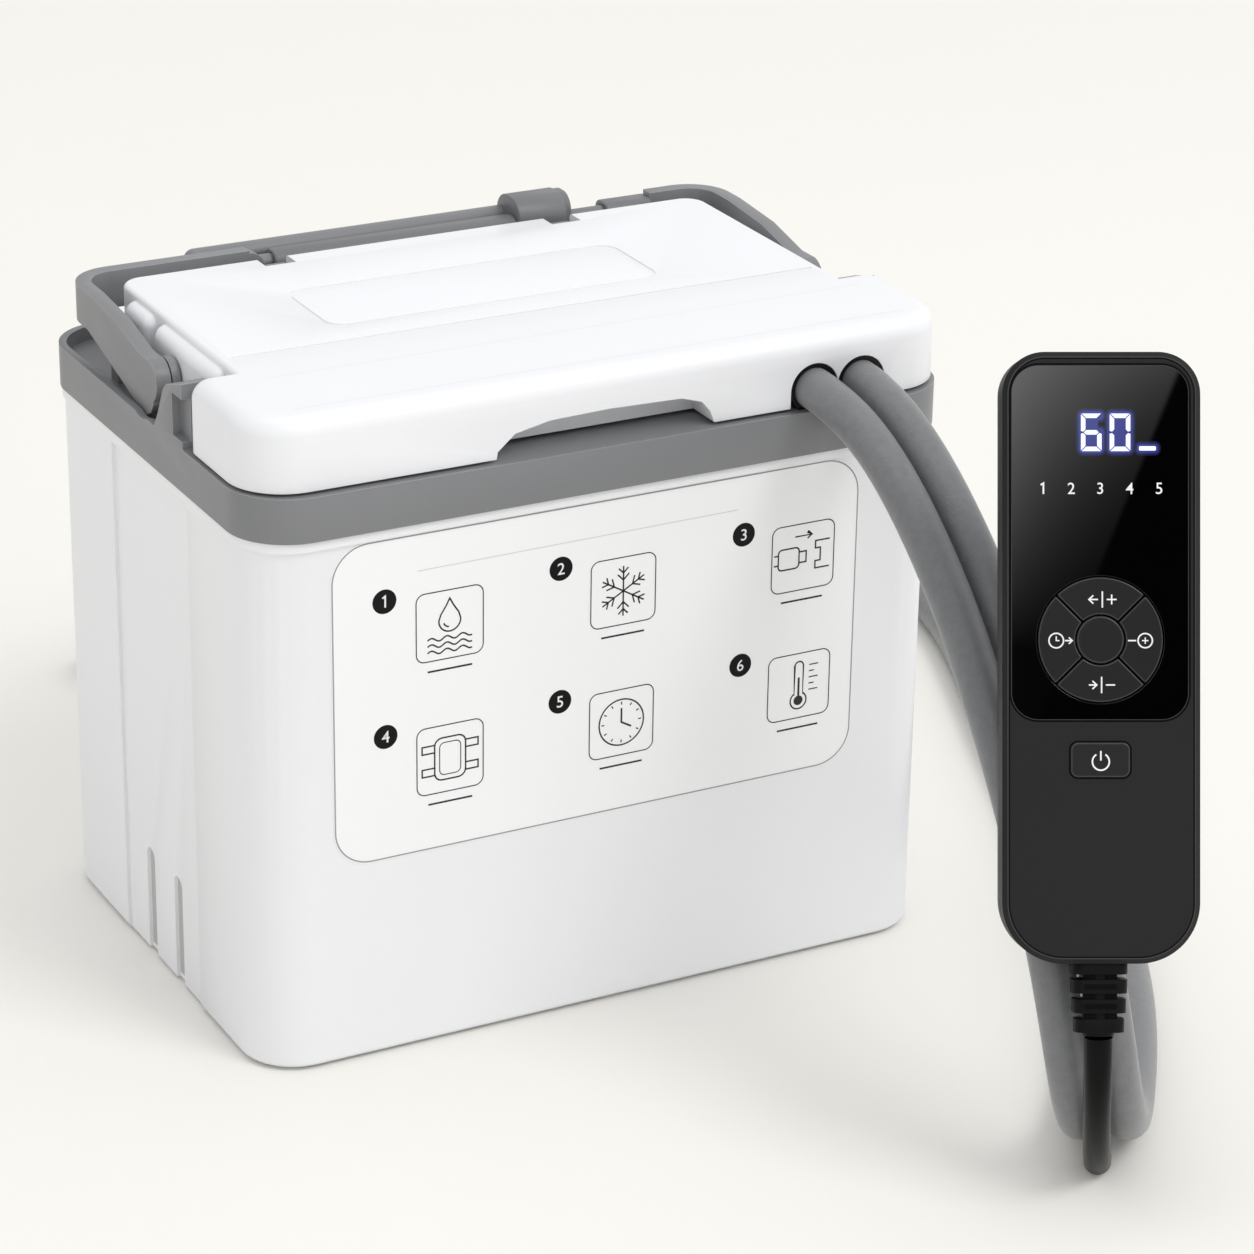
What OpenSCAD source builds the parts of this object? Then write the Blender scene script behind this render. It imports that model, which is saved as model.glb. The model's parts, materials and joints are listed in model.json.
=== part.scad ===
// Hot and cold therapy machine: an insulated water box with a hinged lid and
// a bail handle, a circulation pump inside, two foam-sleeved hoses and a
// wired hand control. Millimetres, +Z up, front label towards -Y.
// Origin: centre of the box's footprint, on the surface it stands on.

/* [Box] */
// Width of the grey rim band
rim_w = 290; // [286:1:296]
// Depth of the grey rim band
rim_d = 209.2; // [206:0.2:214]
// Height of the rim's top face
rim_top = 230.4; // [229.8:0.1:230.6]
// Height of the rim's lower edge
rim_low = 213.3; // [212:0.1:215]
// Width of the white outer body
body_w = 287.4; // [285:0.2:288]
// Depth of the white outer body
body_d = 203; // [200:0.5:205]
// Corner radius of the outer body, in plan
body_r = 22; // [16:1:26]
// Wall thickness of the outer body
body_wall = 4; // [3.5:0.1:5]
// Depth of the recessed side panels
panel_depth = 1.5; // [1:0.1:2]

/* [Lid] */
// Height of the lid's top face
lid_top = 259; // [258:0.1:260]
// Height of the lid's lower edge
lid_low = 231.7; // [231.4:0.1:232]
// Wall thickness of the lid shell
lid_wall = 2.6; // [2.2:0.1:3]
// Half width of the narrow rear part of the lid
lid_half = 126; // [124:0.5:127]
// Height of the lid hinge axis
hinge_z = 252; // [251:0.5:253]
// Distance of the lid hinge axis behind the box centre
hinge_y = 68; // [67:0.5:69]

/* [Handle] */
// Thickness of the handle's flat arms
arm_t = 6; // [5:0.1:6.2]
// Distance from the centre plane to an arm's outer face
arm_out = 141.5; // [141:0.1:141.6]
// Height of the handle's pivot axis
pivot_z = 243.2; // [243:0.1:244]
// Radius of the handle's pivot pins
pivot_r = 4; // [3:0.1:5]
// Running clearance of the pivot pins, on the radius
run_gap = 0.05; // [0.02:0.01:0.1]

/* [Hoses] */
// Outer diameter of a hose with its foam sleeve
hose_d = 16; // [15:0.5:16]
// Diameter of the hand control's cable
cable_d = 10; // [8:0.2:10]
// Middle radius of the inner hose's stored turns
coil_r1 = 72; // [70:1:74]
// Middle radius of the outer hose's stored turns
coil_r2 = 89; // [88:1:91]

/* [Hand control] */
// Width of the hand control
hand_w = 68; // [67:0.5:70]
// Length of the hand control
hand_l = 210; // [205:1:212]
// Thickness of the hand control
hand_t = 20; // [18:0.5:20]
// Travel of the buttons
key_travel = 0.7; // [0.4:0.1:0.7]

/* [Hidden] */
$fn = 48;

white = [0.93, 0.93, 0.94];
grey = [0.35, 0.355, 0.36];
hose_grey = [0.27, 0.28, 0.29];
black = [0.05, 0.05, 0.055];

// inside of the liner
lin_x = 120; lin_y0 = -80; lin_y1 = 60; lin_r = 16;
lin_floor = 28; plate_low = 222;
groove_z = 224.5;          // floor of the handle's groove in the rim
port_x1 = 83.5; port_x2 = 103.5; port_z = 238.2;

// hand control's place: its middle, and the turns that face it to the viewer
hand_at = [99, -273, 193.4];
hand_az = 28.12; hand_tilt = 23.28; hand_roll = 0.9;
pad_c = [-0.45, 6.2];          // middle of the round key pad
coil_c = [85, 203];        // middle of the stored turns, behind the box

// middle lines of the two hoses, from the port to the stored turns
H1 = [[83.5, -96, 238.2], [83.5, -104, 238.2], [83.5, -114, 237.4], [84, -133, 234.5], [84, -157, 225],
  [84, -182, 208], [83, -207, 188], [80, -232, 166], [77.5, -254.5, 143], [76.3, -272.5, 118],
  [75.4, -287.5, 94], [76, -298.2, 67], [80.5, -300.5, 39.5], [93.5, -288.5, 17], [113.5, -262.5, 8],
  [135.5, -232.5, 8.2], [158.5, -198, 8.1], [181, -156, 8.1], [204.5, -107, 8.1], [229, -52, 8.1],
  [252, 8, 8.1], [275, 66, 8.1], [294, 112, 8.1], [308, 156, 8.1], [313, 197, 8.1], [302, 238, 8.1],
  [272, 265, 8.1], [232, 274.5, 8.1], [180, 275, 8.1], [120, 275, 8.1], [85, 275, 8.1]];
H2 = [[103.5, -96, 238.2], [103.5, -104, 238.2], [103, -114, 237.4], [102, -133, 234.5], [101, -157, 225],
  [101, -182, 208], [100, -207, 188], [97, -233, 166], [92.5, -262.5, 143], [91.3, -280.5, 118],
  [90.4, -295.5, 94], [91, -306.3, 67], [95.5, -308, 39.5], [108.5, -296.2, 17], [128.5, -270.8, 8],
  [150.5, -241, 8.2], [173.5, -206.5, 8.1], [196.5, -164, 8.1], [220, -114.5, 8.1], [245, -58.5, 8.1],
  [268, 2, 8.1], [291, 59.5, 8.1], [310, 106, 8.1], [324.5, 152.5, 8.1], [330, 198, 8.1],
  [316.5, 247, 8.1], [280, 280, 8.1], [232, 292, 8.1], [180, 292, 8.1], [120, 292, 8.1],
  [85, 292, 8.1]];
// middle lines of the free ends, from the stored turns to the couplings
T1 = [[85, 275, 24.5], [53, 275, 24.8], [25, 275.4, 26], [2, 276, 18], [-14, 276, 10.8], [-23, 276, 10.2]];
T2 = [[85, 292, 24.5], [61, 292, 23.5], [41, 293, 17], [25, 294.3, 11], [15, 294.5, 10.2]];
// middle line of the hand control's cable, down to the joiner under the hoses
KC = [[76.5, -319.5, 73], [75.8, -321.3, 66], [76.8, -320.6, 54], [80.2, -316.5, 40], [85.5, -310, 26],
  [91.3, -302.5, 14], [97, -295.2, 5.4]];

// ---- helpers -------------------------------------------------------------

function unit(v) = v / norm(v);

// middle line at each of the points above, smoothed as a cubic spline
function smooth(C) = let (n = len(C)) [for (i = [0:n - 1])
  i == 0 || i == n - 1 ? C[i] : (C[i - 1] + 4 * C[i] + C[i + 1]) / 6];
function tangents(P) = let (n = len(P)) [for (i = [0:n - 1])
  unit(P[min(i + 1, n - 1)] - P[max(i - 1, 0)])];
function carry(T, n0) = [for (i = 0, n = unit(n0 - T[0] * (n0 * T[0])); i < len(T);
  i = i + 1, n = i < len(T) ? unit(n - T[i] * (n * T[i])) : n) n];

// a round tube of k sides along the points C
module tube_along(C, d, k, n0) {
  P = smooth(C);
  T = tangents(P);
  N = carry(T, n0);
  m = len(P);
  pts = [for (i = [0:m - 1]) for (j = [0:k - 1])
    P[i] + (N[i] * cos(360 * j / k) + cross(T[i], N[i]) * sin(360 * j / k)) * d / 2];
  faces = concat(
    [[for (j = [0:k - 1]) j]],
    [[for (j = [k - 1:-1:0]) (m - 1) * k + j]],
    [for (i = [0:m - 2]) for (j = [0:k - 1]) [i * k + j, (i + 1) * k + j, (i + 1) * k + (j + 1) % k]],
    [for (i = [0:m - 2]) for (j = [0:k - 1]) [i * k + j, (i + 1) * k + (j + 1) % k, i * k + (j + 1) % k]]);
  polyhedron(points = pts, faces = faces, convexity = 6);
}

module rrect(w, d, r) {
  union() {
    square([w - 2 * r, d], center = true);
    square([w, d - 2 * r], center = true);
    for (x = [-1, 1], y = [-1, 1]) translate([x * (w / 2 - r), y * (d / 2 - r)]) circle(r);
  }
}

module prism(w, d, r, z0, z1) {
  translate([0, 0, z0]) linear_extrude(z1 - z0) rrect(w, d, r);
}

// profile of half width e and height h, rounded by ft above and fb below
module side_profile(e, h, ft, fb) {
  difference() {
    square([e, h]);
    if (ft > 0) translate([e - ft, h - ft]) difference() { square(ft + 1); circle(ft); }
    if (fb > 0) translate([e - fb, fb]) mirror([0, 1]) difference() { square(fb + 1); circle(fb); }
  }
}

// upright block with round corners r, its edges rounded by ft above and fb below
module soft_block(w, d, h, r, ft, fb) {
  union() {
    for (x = [0, 1], y = [0, 1]) mirror([x, 0, 0]) mirror([0, y, 0])
      translate([w / 2 - r, d / 2 - r, 0]) rotate_extrude() side_profile(r, h, ft, fb);
    for (x = [0, 1]) mirror([x, 0, 0]) translate([w / 2 - r, d / 2 - r, 0]) rotate([90, 0, 0])
      linear_extrude(d - 2 * r) side_profile(r, h, ft, fb);
    for (y = [0, 1]) mirror([0, y, 0]) translate([-(w / 2 - r), d / 2 - r, 0]) rotate([90, 0, 90])
      linear_extrude(w - 2 * r) side_profile(r, h, ft, fb);
    translate([-(w / 2 - r) - 0.01, -(d / 2 - r) - 0.01, 0]) cube([w - 2 * r + 0.02, d - 2 * r + 0.02, h]);
  }
}

// upright block with front corners rf, rear corners rr and its top edge rounded by ft
module lid_block(w, d, h, rf, rr, ft) {
  union() {
    for (x = [0, 1]) mirror([x, 0, 0]) {
      translate([w / 2 - rf, -d / 2 + rf, 0]) rotate_extrude() side_profile(rf, h, ft, 0);
      translate([w / 2 - rr, d / 2 - rr, 0]) rotate_extrude() side_profile(rr, h, ft, 0);
      translate([w / 2 - rr, d / 2 - rr, 0]) rotate([90, 0, 0]) linear_extrude(d - rf - rr) side_profile(rr, h, ft, 0);
    }
    translate([-(w / 2 - rf), -(d / 2 - rr), 0]) mirror([0, 1, 0]) rotate([90, 0, 90])
      linear_extrude(w - 2 * rf) side_profile(rr, h, ft, 0);
    translate([-(w / 2 - rr), d / 2 - rr, 0]) rotate([90, 0, 90]) linear_extrude(w - 2 * rr) side_profile(rr, h, ft, 0);
    block([-(w / 2 - rr) - 0.01, -d / 2 + rf, 0], [w / 2 - rr + 0.01, d / 2 - rr + 0.01, h]);
    block([-(w / 2 - rf), -d / 2 + rr - 0.01, 0], [w / 2 - rf, 0, h]);
  }
}

// box from corner a to corner b
module block(a, b) { translate(a) cube(b - a); }

// puts a piece drawn flat, face up, in the hand control's place
module in_hand() {
  translate(hand_at) rotate([90 - hand_tilt, 0, -hand_az]) rotate([0, 0, hand_roll]) children();
}

// ---- box -----------------------------------------------------------------

module outer_body() {
  color(white) difference() {
    union() {
      translate([0, 0, 1]) soft_block(body_w, body_d, rim_low - 1, body_r, 0, 2.5);
      prism(body_w + 1.2, body_d + 3, body_r, rim_low - 4.2, rim_low);
    }
    prism(body_w - 2 * body_wall, body_d - 2 * body_wall, body_r - body_wall, 6, rim_low + 1);
    for (m = [0, 1]) mirror([m, 0, 0]) {
      block([body_w / 2 - panel_depth, -40, -1], [body_w / 2 + 5, 35, rim_low - 6]);
      for (y = [12, -16]) {
        block([body_w / 2 - panel_depth - 1.4, y - 4, -1], [body_w / 2 + 5, y + 4, 42]);
        translate([body_w / 2 - panel_depth - 1.4, y, 42]) rotate([0, 90, 0]) cylinder(r = 4, h = 8);
      }
    }
    translate([-100, body_d / 2 + 1, 30]) rotate([90, 0, 0]) cylinder(r = 5.5, h = 8);
    for (x = [-115, 115], y = [-75, 75]) translate([x, y, 0]) cylinder(r = 9, h = 3.2);
    translate([0, 0, 0]) cylinder(r = 12.2, h = 3.2);
  }
}

module foam_core() {
  color([0.95, 0.93, 0.85]) difference() {
    prism(body_w - 2 * body_wall - 0.4, body_d - 2 * body_wall - 0.4, body_r - body_wall, 6.1, rim_low - 0.2);
    translate([0, (lin_y0 + lin_y1) / 2, 0])
      prism(2 * lin_x + 4.6, lin_y1 - lin_y0 + 4.6, lin_r + 2.3, lin_floor - 2.2, 300);
    translate([-100, body_d / 2, 30]) rotate([90, 0, 0]) cylinder(r = 9, h = 24);
  }
}

module inner_liner() {
  color([0.9, 0.91, 0.92]) translate([0, (lin_y0 + lin_y1) / 2, 0]) difference() {
    prism(2 * lin_x + 4, lin_y1 - lin_y0 + 4, lin_r + 2, lin_floor - 2, plate_low);
    prism(2 * lin_x, lin_y1 - lin_y0, lin_r, lin_floor, plate_low + 1);
  }
}

// stop post in front of a handle arm
module stop_post() {
  difference() {
    translate([131.3, 0, 0]) rotate([90, 0, 90]) linear_extrude(rim_w / 2 - 131.3)
      polygon([[-41, groove_z - 1], [-41, 255.4], [-31, 252.4], [-26.5, 251], [-23, 247.6], [-18, 237.6],
        [-13.4, 230.6], [-13.4, groove_z - 1]]);
    // pocket in the outer face, beside the lid
    block([141.4, -42, 233.3], [rim_w / 2 + 1, -32, 249.6]);
  }
}

// wall beside an arm that carries its pivot pin
module pivot_post() {
  translate([131.6, 0, 0]) rotate([90, 0, 90]) linear_extrude(3.2) difference() {
    union() {
      translate([0, pivot_z]) circle(8);
      translate([-8, groove_z - 1]) square([16, pivot_z - groove_z + 1]);
    }
    translate([0, pivot_z]) circle(pivot_r);
  }
}

// low post with a round top, between an arm and the lid
module rest_post(y, top) {
  translate([131.5, 0, 0]) rotate([90, 0, 90]) linear_extrude(3.4) union() {
    translate([y, top - 3.4]) circle(3.4);
    translate([y - 3.4, groove_z - 1]) square([6.8, top - 2.4 - groove_z]);
  }
}

module hinge_bracket() {
  translate([-5, 0, 0]) rotate([90, 0, 90]) linear_extrude(10) difference() {
    union() {
      translate([hinge_y, hinge_z]) circle(4.5);
      translate([hinge_y - 4.5, rim_top - 1]) square([9, hinge_z - rim_top + 1]);
    }
    translate([hinge_y, hinge_z]) circle(2);
  }
}

module rim_band() {
  color(grey) union() {
    difference() {
      union() {
        prism(rim_w, rim_d, 24, rim_low, rim_top);
      }
      // the skirt is hollow below the plate
      prism(rim_w - 10, rim_d - 10, 19, rim_low - 1, plate_low);
      // mouth of the box
      translate([0, (lin_y0 + lin_y1) / 2, 0])
        prism(2 * lin_x, lin_y1 - lin_y0, lin_r, plate_low - 1, rim_top + 1);
      // groove for the handle, round both sides and the back
      difference() {
        prism(rim_w - 6, rim_d - 6, 21, groove_z, rim_top + 1);
        translate([0, -150, groove_z - 1]) cube([400, 218, 40], center = true);
        block([-127.5, -120, groove_z - 1], [127.5, 72.5, rim_top + 2]);
      }
      for (m = [0, 1]) mirror([m, 0, 0]) {
        block([127.5, -41, groove_z], [142, -30, rim_top + 1]);
        // dip in the lip under the arm's round end
        translate([120, 0, pivot_z]) rotate([0, 90, 0]) cylinder(r = 14, h = 40);
      }
    }
    for (m = [0, 1]) mirror([m, 0, 0]) { stop_post(); pivot_post(); rest_post(52, 250); rest_post(27.5, 247.5); }
    for (x = [-62, 62]) translate([x, 0, 0]) hinge_bracket();
  }
}

module front_label() {
  color([0.96, 0.96, 0.97]) translate([-4.8, -body_d / 2, 145]) rotate([90, 0, 0])
    linear_extrude(0.3) rrect(219, 127.6, 15);
}

module feet() {
  color(black) {
    for (x = [-115, 115], y = [-75, 75]) translate([x, y, 0]) cylinder(r = 8.8, h = 3.2);
    cylinder(r = 12, h = 3.2);
  }
}

// ---- water circuit ---------------------------------------------------------

pump_c = [88, -46];
module pump_housing() {
  color([0.15, 0.15, 0.16]) difference() {
    union() {
      translate([pump_c[0], pump_c[1], lin_floor]) linear_extrude(34) rrect(50, 40, 6);
      translate([port_x1, -68, lin_floor + 34]) cylinder(r = 5, h = 18);
      translate([port_x1 - 8, -74, lin_floor + 20]) cube([16, 14, 14]);
    }
    // impeller chamber, open below to the strainer, and the channels that lead to it
    translate([pump_c[0], pump_c[1], lin_floor - 1]) cylinder(r = 14, h = 13);
    for (i = [-1:1]) block([pump_c[0] - 30, pump_c[1] + 7 * i - 2, lin_floor - 1], [pump_c[0] + 30, pump_c[1] + 7 * i + 2, lin_floor + 2.2]);
    // motor bay
    translate([pump_c[0], pump_c[1], lin_floor + 15]) cylinder(r = 15, h = 15);
    // shaft hole between them
    translate([pump_c[0], pump_c[1], lin_floor + 11]) cylinder(r = 1.6, h = 5);
    // outlet
    translate([port_x1, -68, lin_floor + 6]) cylinder(r = 3.5, h = 60);
    translate([port_x1 - 3.5, -68, lin_floor + 6]) cube([7, 14, 5]);
  }
}

module pump_motor() {
  color([0.6, 0.6, 0.62]) translate([pump_c[0], pump_c[1], lin_floor + 15.2]) difference() {
    cylinder(r = 14.8, h = 14.6);
    translate([0, 0, -1]) cylinder(r = 1.55, h = 9);
  }
}

module pump_impeller() {
  color([0.85, 0.85, 0.8]) translate([pump_c[0], pump_c[1], lin_floor]) {
    translate([0, 0, 4.5]) cylinder(r = 12.5, h = 1.6);
    for (a = [0:60:300]) rotate([0, 0, a]) translate([2.5, -0.7, 6]) cube([9, 1.4, 3.6]);
    translate([0, 0, 4.5]) cylinder(r = 3.4, h = 5.8);
    translate([0, 0, 4.5]) cylinder(r = 1.5, h = 17);
  }
}

module pump_strainer() {
  color([0.2, 0.2, 0.22]) translate([pump_c[0], pump_c[1], lin_floor + 2.2]) difference() {
    cylinder(r = 14, h = 1.6);
    for (i = [-3:3]) translate([i * 3.2 - 0.7, -sqrt(144 - pow(i * 3.2, 2)) + 2, -1])
      cube([1.4, 2 * sqrt(144 - pow(i * 3.2, 2)) - 4, 4]);
  }
}

module heater_plate() {
  color([0.75, 0.75, 0.77]) translate([-35, -10, lin_floor]) difference() {
    cylinder(r = 46, h = 3);
    for (r = [12, 24, 36]) translate([0, 0, 2]) difference() {
      cylinder(r = r + 1.5, h = 2);
      translate([0, 0, -1]) cylinder(r = r - 1.5, h = 4);
    }
  }
}

module temp_probe() {
  color([0.7, 0.7, 0.72]) translate([30, -20, lin_floor]) {
    cylinder(r = 6, h = 4);
    cylinder(r = 3, h = 26);
    translate([0, 0, 26]) sphere(3);
  }
}

// block that turns both hoses down into the box
module hose_port() {
  color([0.12, 0.12, 0.13]) difference() {
    union() {
      block([port_x1 - 10, -96, 231], [port_x2 + 10, -58, 248]);
      for (x = [port_x1, port_x2]) translate([x, -68, 214]) cylinder(r = 5, h = 18);
      block([port_x1 - 8, -94, rim_top], [port_x2 + 8, -82, 231.2]);
      // collar round each hose, in the lid's arches
      intersection() {
        for (x = [port_x1, port_x2]) translate([x, -95, port_z]) rotate([90, 0, 0]) cylinder(r = 9.85, h = 6.6);
        block([port_x1 - 12, -103, rim_top + 0.3], [port_x2 + 12, -94, 250]);
      }
    }
    for (x = [port_x1, port_x2]) translate([x, -96, port_z]) rotate([90, 0, 0]) cylinder(r = 8.3, h = 8);
    for (x = [port_x1, port_x2]) {
      translate([x, -68, 213]) cylinder(r = 3.5, h = 30);
      translate([x, -97, port_z]) rotate([-90, 0, 0]) cylinder(r = 3.5, h = 30);
    }
  }
}

module inner_tube(x, z0) {
  translate([x, -68, z0]) difference() {
    cylinder(r = 6.5, h = 230.8 - z0);
    translate([0, 0, -1]) cylinder(r = 5, h = 240 - z0);
  }
}
module supply_tube() { color([0.75, 0.8, 0.85]) inner_tube(port_x1, lin_floor + 36); }
module return_tube() { color([0.75, 0.8, 0.85]) inner_tube(port_x2, 120); }

module dc_socket() {
  color(black) translate([-100, body_d / 2, 30]) rotate([-90, 0, 0]) difference() {
    union() {
      cylinder(r = 8, h = 1.6);
      translate([0, 0, -14]) cylinder(r = 5.4, h = 15);
    }
    translate([0, 0, -9]) cylinder(r = 2.75, h = 12);
  }
}

// ---- lid ---------------------------------------------------------------------

module lid_shell() {
  color(white) difference() {
    union() {
      // full-width front part
      translate([0, -72.2, lid_low]) lid_block(288, 59.5, lid_top - lid_low, 22, 8, 7);
      // narrow rear part and the rounded pads along its sides
      translate([0, 5, lid_low]) soft_block(2 * lid_half, 130, lid_top - lid_low, 9, 2, 0);
      for (k = [[-6.5, 62], [41.6, 26]])
        translate([0, k[0], lid_low]) soft_block(261.6, k[1], lid_top - lid_low - 2.6, 6, 5, 0);
    }
    // hollow inside
    difference() {
      union() {
        translate([0, -72.2, lid_low - 1]) prism(288 - 2 * lid_wall, 59.5 - 2 * lid_wall, 19.4, 0, lid_top - lid_low + 1 - lid_wall);
        translate([0, 5 - lid_wall, lid_low - 1]) prism(2 * lid_half - 2 * lid_wall, 130 - 2 * lid_wall, 10, 0, lid_top - lid_low + 1 - lid_wall);
        block([-lid_half + lid_wall, -60, lid_low - 1], [lid_half - lid_wall, -20, lid_top - lid_wall]);
      }
      // wall behind the finger recess
      block([-53, -103, lid_low - 3], [47, -83, lid_top]);
      // walls round the hinge notches
      for (x = [-62, 62]) block([x - 9, 57.4, lid_low - 3], [x + 9, 72, lid_top]);
    }
    // finger recess
    translate([-3, -104, 0]) rotate([-90, 0, 0]) linear_extrude(18.5) mirror([0, 1])
      polygon([[-46, 228], [-45, 234.5], [-38, 240.5], [-24, 243.3], [0, 244], [30, 243.2], [38.5, 240.6], [42, 236.5], [45.5, 228]]);
    // two arches for the hoses
    for (x = [port_x1, port_x2]) {
      translate([x, -103, 238]) rotate([-90, 0, 0]) cylinder(r = 10.2, h = 5.7);
      block([x - 10.2, -103, 228], [x + 10.2, -97.3, 238]);
    }
    // hinge notches and pin holes
    for (x = [-62, 62]) {
      block([x - 6.4, 60, lid_low - 3], [x + 6.4, 75, lid_top + 3]);
      translate([x - 12, hinge_y, hinge_z]) rotate([0, 90, 0]) cylinder(r = 2 + run_gap, h = 24);
    }
    // shallow outline on the rear part and line across the middle
    translate([-5, 6.5, lid_top - 0.5]) linear_extrude(1) difference() { rrect(140, 45, 8); rrect(137.6, 42.6, 6.8); }
    block([-lid_half + 4, -32, lid_top - 0.5], [lid_half - 4, -31, lid_top + 1]);
  }
}

// white tray that closes the lid from below and hangs into the mouth
module lid_tray() {
  color([0.9, 0.91, 0.92]) difference() {
    union() {
      translate([0, -7.5, 0]) prism(234, 129, 12, 214, lid_low - 0.1);
      block([-lid_half + lid_wall, -82.8, lid_low - 0.1], [lid_half - lid_wall, 53.5, lid_low + 1.9]);
    }
    translate([0, -7.5, 0]) prism(230, 125, 10, 216, lid_low + 3);
    block([69, -90, 213], [130, -48, lid_low + 4]);
  }
}

module lid_foam() {
  color([0.95, 0.93, 0.85]) difference() {
    translate([0, -9.8, 0]) prism(229.6, 120, 10, 216.1, 254);
    block([66, -90, 213], [120, -46, 256]);
  }
}

module lid_seal() {
  color([0.3, 0.3, 0.31]) difference() {
    translate([0, -10.2, 0]) prism(246.4, 145, 17.5, rim_top + 0.2, lid_low - 0.1);
    translate([0, -10.1, 0]) prism(240.8, 140.8, 14.8, rim_top - 1, lid_low + 1);
    block([68, -90, 200], [118, -60, 260]);
  }
}

module hinge_pins() {
  color([0.7, 0.7, 0.72]) for (x = [-62, 62])
    translate([x - 9.4, hinge_y, hinge_z]) rotate([0, 90, 0]) cylinder(r = 2, h = 18.8);
}

// ---- handle --------------------------------------------------------------------

bar_z0 = 243.5; bar_z1 = 258.5;
module arm() {
  difference() {
    translate([arm_out - arm_t, 0, 0]) rotate([90, 0, 90]) linear_extrude(arm_t) union() {
      translate([0, pivot_z]) circle(8.2);
      polygon([[-4.5, 235.2], [-1.6, 231], [2, 229.2], [5, 228.9], [9, 229.2], [36, 236.7], [62, bar_z0], [66, bar_z0],
        [66, bar_z1], [60, bar_z1], [32, 256.4], [9, 251.3], [0, 251.3], [-4.5, 249.6]]);
    }
    // blind hole for the pivot pin
    translate([arm_out - arm_t - 1, 0, pivot_z]) rotate([0, 90, 0]) cylinder(r = pivot_r + run_gap, h = 5.1);
  }
}

// the two round corners and the ends of the cross bar, in plan
module bar_outline() {
  difference() {
    rrect(2 * arm_out, 175, 17.5);
    rrect(2 * (arm_out - arm_t), 175 - 2 * arm_t, 17.5 - arm_t);
    translate([-200, -200]) square([400, 264]);
    translate([-66, 40]) square([177.2, 60]);
  }
}

module handle_bail() {
  color(grey) union() {
    for (m = [0, 1]) mirror([m, 0, 0]) arm();
    translate([0, 0, bar_z0]) linear_extrude(bar_z1 - bar_z0) bar_outline();
    translate([-66.1, 81.5, (bar_z0 + bar_z1) / 2]) rotate([-90, 0, 0]) cylinder(r = 6.5, h = 6);
    translate([-68, 84.5, 252.4]) rotate([0, 90, 0]) cylinder(r = 2.9, h = 181);
  }
}

module handle_grip() {
  color([0.28, 0.285, 0.29]) translate([-56, 84.5, 250.5]) rotate([90, 0, 90]) linear_extrude(106) difference() {
    rrect(12.4, 12.6, 5.2);
    translate([0, 1.9]) circle(2.95);
  }
}

module handle_rail() {
  color(grey) union() {
    translate([-84, 95, 253.8]) rotate([0, 90, 0]) cylinder(r = 4, h = 134);
    translate([-84, 95, 253.8]) sphere(4);
    translate([-84, 87.5, 253.8]) rotate([-90, 0, 0]) cylinder(r = 3.4, h = 7);
  }
}

module handle_clasp() {
  color([0.3, 0.305, 0.31]) translate([50, 88.2, 252.7]) rotate([90, 0, 90]) difference() {
    union() {
      linear_extrude(21) rrect(22, 21.6, 9);
      translate([1.6, 1.2, 20.9]) linear_extrude(4.2) rrect(17, 17.4, 7);
    }
    translate([-3.7, -0.3, -1]) cylinder(r = 2.95, h = 30);
  }
}

module handle_sleeve() {
  color([0.28, 0.285, 0.29]) translate([90.4, 84.5, 250.5]) rotate([90, 0, 90]) difference() {
    linear_extrude(20.6) rrect(11.4, 12.6, 3.5);
    translate([0, 1.9, -1]) cylinder(r = 2.95, h = 30);
  }
}

module pivot_pins() {
  color([0.3, 0.3, 0.31]) for (m = [0, 1]) mirror([m, 0, 0])
    translate([131.7, 0, pivot_z]) rotate([0, 90, 0]) cylinder(r = pivot_r, h = 7.6);
}

// ---- hoses -----------------------------------------------------------------------

module hose_left() { color(hose_grey) tube_along(H1, hose_d, 10, [1, 0, 0]); }
module hose_right() { color(hose_grey) tube_along(H2, hose_d, 10, [1, 0, 0]); }

module turns(r) {
  translate([coil_c[0], coil_c[1], 0]) rotate_extrude()
    translate([r - hose_d / 2, 0.1]) square([hose_d, 2 * hose_d + 0.9]);
}
module hose_left_coil() { color(hose_grey) turns(coil_r1); }
module hose_right_coil() { color(hose_grey) turns(coil_r2); }

module hose_left_tail() { color(hose_grey) tube_along(T1, hose_d, 10, [0, 0, 1]); }
module hose_right_tail() { color(hose_grey) tube_along(T2, hose_d, 10, [0, 0, 1]); }

module coil_tie() {
  color(black) translate([coil_c[0], coil_c[1], 0]) rotate([0, 0, 200]) difference() {
    block([61.4, -7, 0.1], [99, 7, 35]);
    block([63.2, -8, -1], [97.4, 8, 33.3]);
  }
}

// push-in couplings at the hoses' far ends, where a wrap or pad plugs in
module coupling() {
  rotate([0, -90, 0]) difference() {
    union() {
      cylinder(r = 8.4, h = 12);
      translate([0, 0, 12]) cylinder(r = 10, h = 22);
      translate([0, 0, 34]) cylinder(r = 8.6, h = 10);
    }
    translate([0, 0, 20]) cylinder(r = 4, h = 30);
  }
}
module hose_couplings() {
  color(black) {
    translate([-23, 276, 10.2]) coupling();
    translate([15, 294.5, 10.2]) coupling();
  }
}

// ---- hand control ------------------------------------------------------------------

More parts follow.
